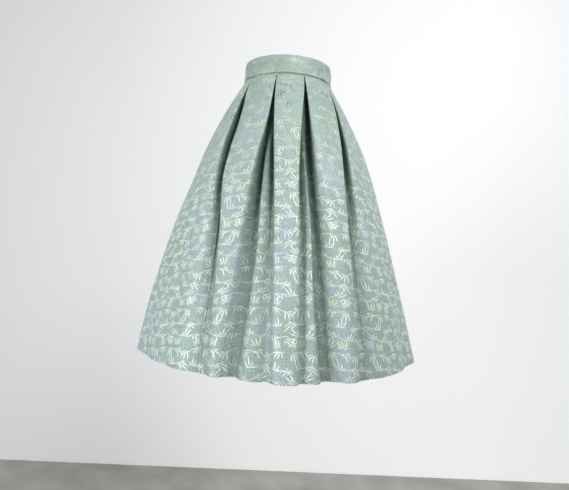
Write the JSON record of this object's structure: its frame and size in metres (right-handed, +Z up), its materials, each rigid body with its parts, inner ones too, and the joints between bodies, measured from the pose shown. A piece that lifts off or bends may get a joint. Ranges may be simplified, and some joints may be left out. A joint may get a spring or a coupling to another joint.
{
  "type": "pleated brocade midi skirt",
  "caption": "High-waisted flared midi skirt with a plain waistband and open inverted box pleats, hanging as worn, with a concealed side zip.",
  "frame": {"origin": "centre of the waist, half way up the waistband, where the wearer holds the skirt", "axes": "+Z up, -Y the skirt's front, +X the wearer's left"},
  "size_m": [0.7174, 0.6935, 0.7573],
  "materials": {
    "brocade": "satin brocade",
    "zip_tape": "woven polyester tape",
    "zip_metal": "enamelled to match the cloth"
  },
  "bodies": {
    "skirt": {"waistband": "brocade", "skirt_front": "brocade", "skirt_back": "brocade", "zip_tape_front": "zip_tape", "zip_tape_back": "zip_tape", "zip_slider": "zip_metal"},
    "pull": {"zip_pull": "zip_metal"}
  },
  "joints": [
    {"name": "pull_hinge", "type": "hinge", "parent": "skirt", "child": "pull", "pos_m": [0.11723, 0, 0.0165], "axis": [0, -1, 0], "range_deg": [0, 165]}
  ]
}
